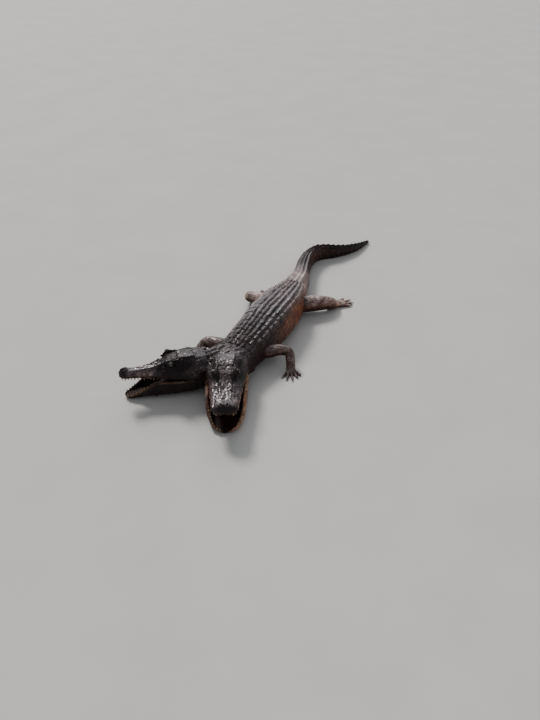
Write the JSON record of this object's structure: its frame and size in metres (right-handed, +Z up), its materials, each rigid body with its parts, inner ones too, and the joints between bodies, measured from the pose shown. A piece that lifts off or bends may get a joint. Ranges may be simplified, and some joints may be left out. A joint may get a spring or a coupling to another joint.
{
  "type": "two-headed american alligator",
  "caption": "Life-size still model of an alligator with twin heads on one body, lying on its belly with both mouths open.",
  "frame": {"origin": "on the floor under the middle of the trunk, where the belly rests", "axes": "+Z up from the floor; +Y from the shoulders toward the tail; +X toward the animal's own left side"},
  "size_m": [0.5068, 1.6382, 0.1537],
  "materials": {
    "hide": "wet gloss",
    "eye": "gloss"
  },
  "bodies": {
    "root": {"trunk": "hide", "tail_base": "hide", "tail_middle": "hide", "tail_tip": "hide", "left_neck": "hide", "right_neck": "hide", "left_head": "hide", "right_head": "hide", "left_lower_jaw": "hide", "right_lower_jaw": "hide", "left_head_left_eye": "eye", "left_head_right_eye": "eye", "right_head_left_eye": "eye", "right_head_right_eye": "eye", "left_upper_arm": "hide", "left_forearm": "hide", "left_hand": "hide", "right_upper_arm": "hide", "right_forearm": "hide", "right_hand": "hide", "left_thigh": "hide", "left_shin": "hide", "left_foot": "hide", "right_thigh": "hide", "right_shin": "hide", "right_foot": "hide"}
  },
  "joints": []
}
